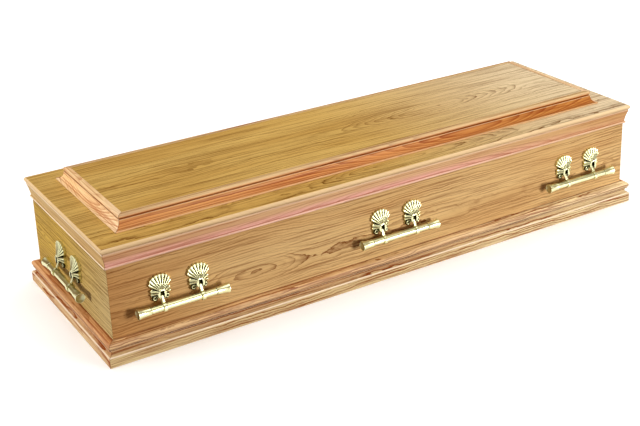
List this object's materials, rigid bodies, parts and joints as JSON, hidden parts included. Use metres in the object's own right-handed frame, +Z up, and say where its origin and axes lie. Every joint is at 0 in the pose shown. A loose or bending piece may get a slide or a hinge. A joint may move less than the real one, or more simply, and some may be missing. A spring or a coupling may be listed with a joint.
{
  "type": "rectangular wooden coffin",
  "caption": "Rectangular panelled oak coffin with moulded plinth and rim, a raised lift-off lid and swinging brass bar handles on shell plates.",
  "frame": {"origin": "on the floor under the middle of the coffin", "axes": "+X along the coffin, +Y across it, +Z up"},
  "size_m": [2.0028, 0.6848, 0.4035],
  "materials": {
    "veneered_oak": "satin lacquer over straight and cathedral grained oak veneer",
    "solid_oak": "satin lacquer over bold reddish oak grain",
    "brass": "polished pale brass"
  },
  "bodies": {
    "coffin": {"base_board": "veneered_oak", "side_panel_front": "veneered_oak", "side_panel_back": "veneered_oak", "end_panel_left": "veneered_oak", "end_panel_right": "veneered_oak", "lid_board": "veneered_oak", "lid_panel": "veneered_oak", "base_moulding_front": "solid_oak", "base_moulding_back": "solid_oak", "base_moulding_left": "solid_oak", "base_moulding_right": "solid_oak", "rim_moulding_front": "solid_oak", "rim_moulding_back": "solid_oak", "rim_moulding_left": "solid_oak", "rim_moulding_right": "solid_oak", "lid_frame_front": "solid_oak", "lid_frame_back": "solid_oak", "lid_frame_left": "solid_oak", "lid_frame_right": "solid_oak", "shell_front_left_a": "brass", "shell_front_left_b": "brass", "shell_front_middle_a": "brass", "shell_front_middle_b": "brass", "shell_front_right_a": "brass", "shell_front_right_b": "brass", "shell_back_left_a": "brass", "shell_back_left_b": "brass", "shell_back_middle_a": "brass", "shell_back_middle_b": "brass", "shell_back_right_a": "brass", "shell_back_right_b": "brass", "shell_end_left_a": "brass", "shell_end_left_b": "brass", "shell_end_right_a": "brass", "shell_end_right_b": "brass"},
    "handle_front_left": {"arm_front_left_a": "brass", "arm_front_left_b": "brass", "bar_front_left": "brass"},
    "handle_front_middle": {"arm_front_middle_a": "brass", "arm_front_middle_b": "brass", "bar_front_middle": "brass"},
    "handle_front_right": {"arm_front_right_a": "brass", "arm_front_right_b": "brass", "bar_front_right": "brass"},
    "handle_back_left": {"arm_back_left_a": "brass", "arm_back_left_b": "brass", "bar_back_left": "brass"},
    "handle_back_middle": {"arm_back_middle_a": "brass", "arm_back_middle_b": "brass", "bar_back_middle": "brass"},
    "handle_back_right": {"arm_back_right_a": "brass", "arm_back_right_b": "brass", "bar_back_right": "brass"},
    "handle_end_left": {"arm_end_left_a": "brass", "arm_end_left_b": "brass", "bar_end_left": "brass"},
    "handle_end_right": {"arm_end_right_a": "brass", "arm_end_right_b": "brass", "bar_end_right": "brass"}
  },
  "joints": [
    {"name": "swing_front_left", "type": "hinge", "parent": "coffin", "child": "handle_front_left", "pos_m": [-0.747, -0.3105, 0.18], "axis": [-1, 0, 0], "range_deg": [0, 75]},
    {"name": "swing_front_middle", "type": "hinge", "parent": "coffin", "child": "handle_front_middle", "pos_m": [0, -0.3105, 0.18], "axis": [-1, 0, 0], "range_deg": [0, 75]},
    {"name": "swing_front_right", "type": "hinge", "parent": "coffin", "child": "handle_front_right", "pos_m": [0.747, -0.3105, 0.18], "axis": [-1, 0, 0], "range_deg": [0, 75]},
    {"name": "swing_back_left", "type": "hinge", "parent": "coffin", "child": "handle_back_left", "pos_m": [-0.747, 0.3105, 0.18], "axis": [1, 0, 0], "range_deg": [0, 75]},
    {"name": "swing_back_middle", "type": "hinge", "parent": "coffin", "child": "handle_back_middle", "pos_m": [0, 0.3105, 0.18], "axis": [1, 0, 0], "range_deg": [0, 75]},
    {"name": "swing_back_right", "type": "hinge", "parent": "coffin", "child": "handle_back_right", "pos_m": [0.747, 0.3105, 0.18], "axis": [1, 0, 0], "range_deg": [0, 75]},
    {"name": "swing_end_left", "type": "hinge", "parent": "coffin", "child": "handle_end_left", "pos_m": [-0.9695, 0, 0.18], "axis": [0, 1, 0], "range_deg": [0, 75]},
    {"name": "swing_end_right", "type": "hinge", "parent": "coffin", "child": "handle_end_right", "pos_m": [0.9695, 0, 0.18], "axis": [0, -1, 0], "range_deg": [0, 75]}
  ]
}
